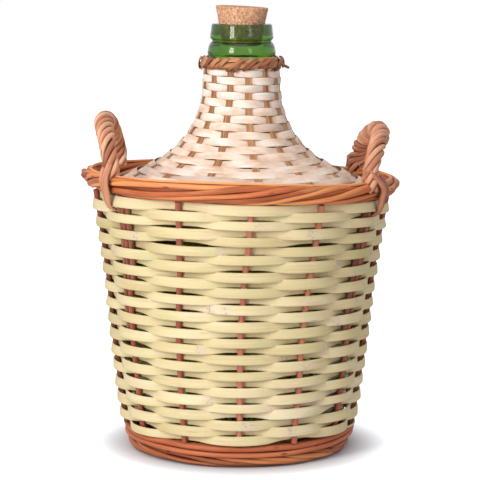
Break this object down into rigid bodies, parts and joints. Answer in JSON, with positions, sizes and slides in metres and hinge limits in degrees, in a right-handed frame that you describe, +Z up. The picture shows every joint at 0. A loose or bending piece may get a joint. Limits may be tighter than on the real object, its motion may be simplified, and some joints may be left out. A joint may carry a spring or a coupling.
{
  "type": "wicker-covered carafe",
  "caption": "Green glass demijohn with a cork, in a woven cane basket with a wicker hood and two twisted handles.",
  "frame": {"origin": "middle of the foot's underside, on the bottle's axis", "axes": "+Z up along the bottle's axis, -Y towards the viewer of the picture, +X to its right"},
  "size_m": [0.344, 0.3441, 0.4848],
  "materials": {
    "green_glass": "clear gloss",
    "cork": "matte cork",
    "pale_cane": "satin peeled cane",
    "red_willow": "satin bark",
    "tan_willow": "matte bark",
    "wood_chip": "matte split wood"
  },
  "bodies": {
    "carafe": {"base_sticks_lower": "tan_willow", "base_sticks_upper": "tan_willow", "base_weave": "tan_willow", "foot_rod_1": "red_willow", "foot_rod_2": "red_willow", "glass_bottle": "green_glass", "hood_stake_01": "tan_willow", "hood_stake_02": "tan_willow", "hood_stake_03": "tan_willow", "hood_stake_04": "tan_willow", "hood_stake_05": "tan_willow", "hood_stake_06": "tan_willow", "hood_stake_07": "tan_willow", "hood_stake_08": "tan_willow", "hood_stake_09": "tan_willow", "hood_stake_10": "tan_willow", "hood_stake_11": "tan_willow", "hood_stake_12": "tan_willow", "hood_stake_13": "tan_willow", "hood_strip_1": "wood_chip", "hood_strip_2": "wood_chip", "hood_strip_3": "wood_chip", "hood_strip_4": "wood_chip", "left_handle_rod_1": "tan_willow", "left_handle_rod_2": "tan_willow", "left_handle_rod_3": "tan_willow", "neck_rod": "red_willow", "right_handle_rod_1": "tan_willow", "right_handle_rod_2": "tan_willow", "right_handle_rod_3": "tan_willow", "rim_rod_1": "red_willow", "rim_rod_2": "red_willow", "rim_rod_3": "red_willow", "wall_cane_1": "pale_cane", "wall_cane_2": "pale_cane", "wall_cane_3": "pale_cane", "wall_cane_4": "pale_cane", "wall_cane_5": "pale_cane", "wall_cane_6": "pale_cane", "wall_cane_7": "pale_cane", "wall_cane_8": "pale_cane", "wall_stake_01": "red_willow", "wall_stake_02": "red_willow", "wall_stake_03": "red_willow", "wall_stake_04": "red_willow", "wall_stake_05": "red_willow", "wall_stake_06": "red_willow", "wall_stake_07": "red_willow", "wall_stake_08": "red_willow", "wall_stake_09": "red_willow", "wall_stake_10": "red_willow", "wall_stake_11": "red_willow", "wall_stake_12": "red_willow", "wall_stake_13": "red_willow"},
    "stopper": {"cork_stopper": "cork"}
  },
  "joints": [
    {"name": "stopper_lift", "type": "slide", "parent": "carafe", "child": "stopper", "axis": [0, 0, 1], "range_m": [0, 0.08]}
  ]
}
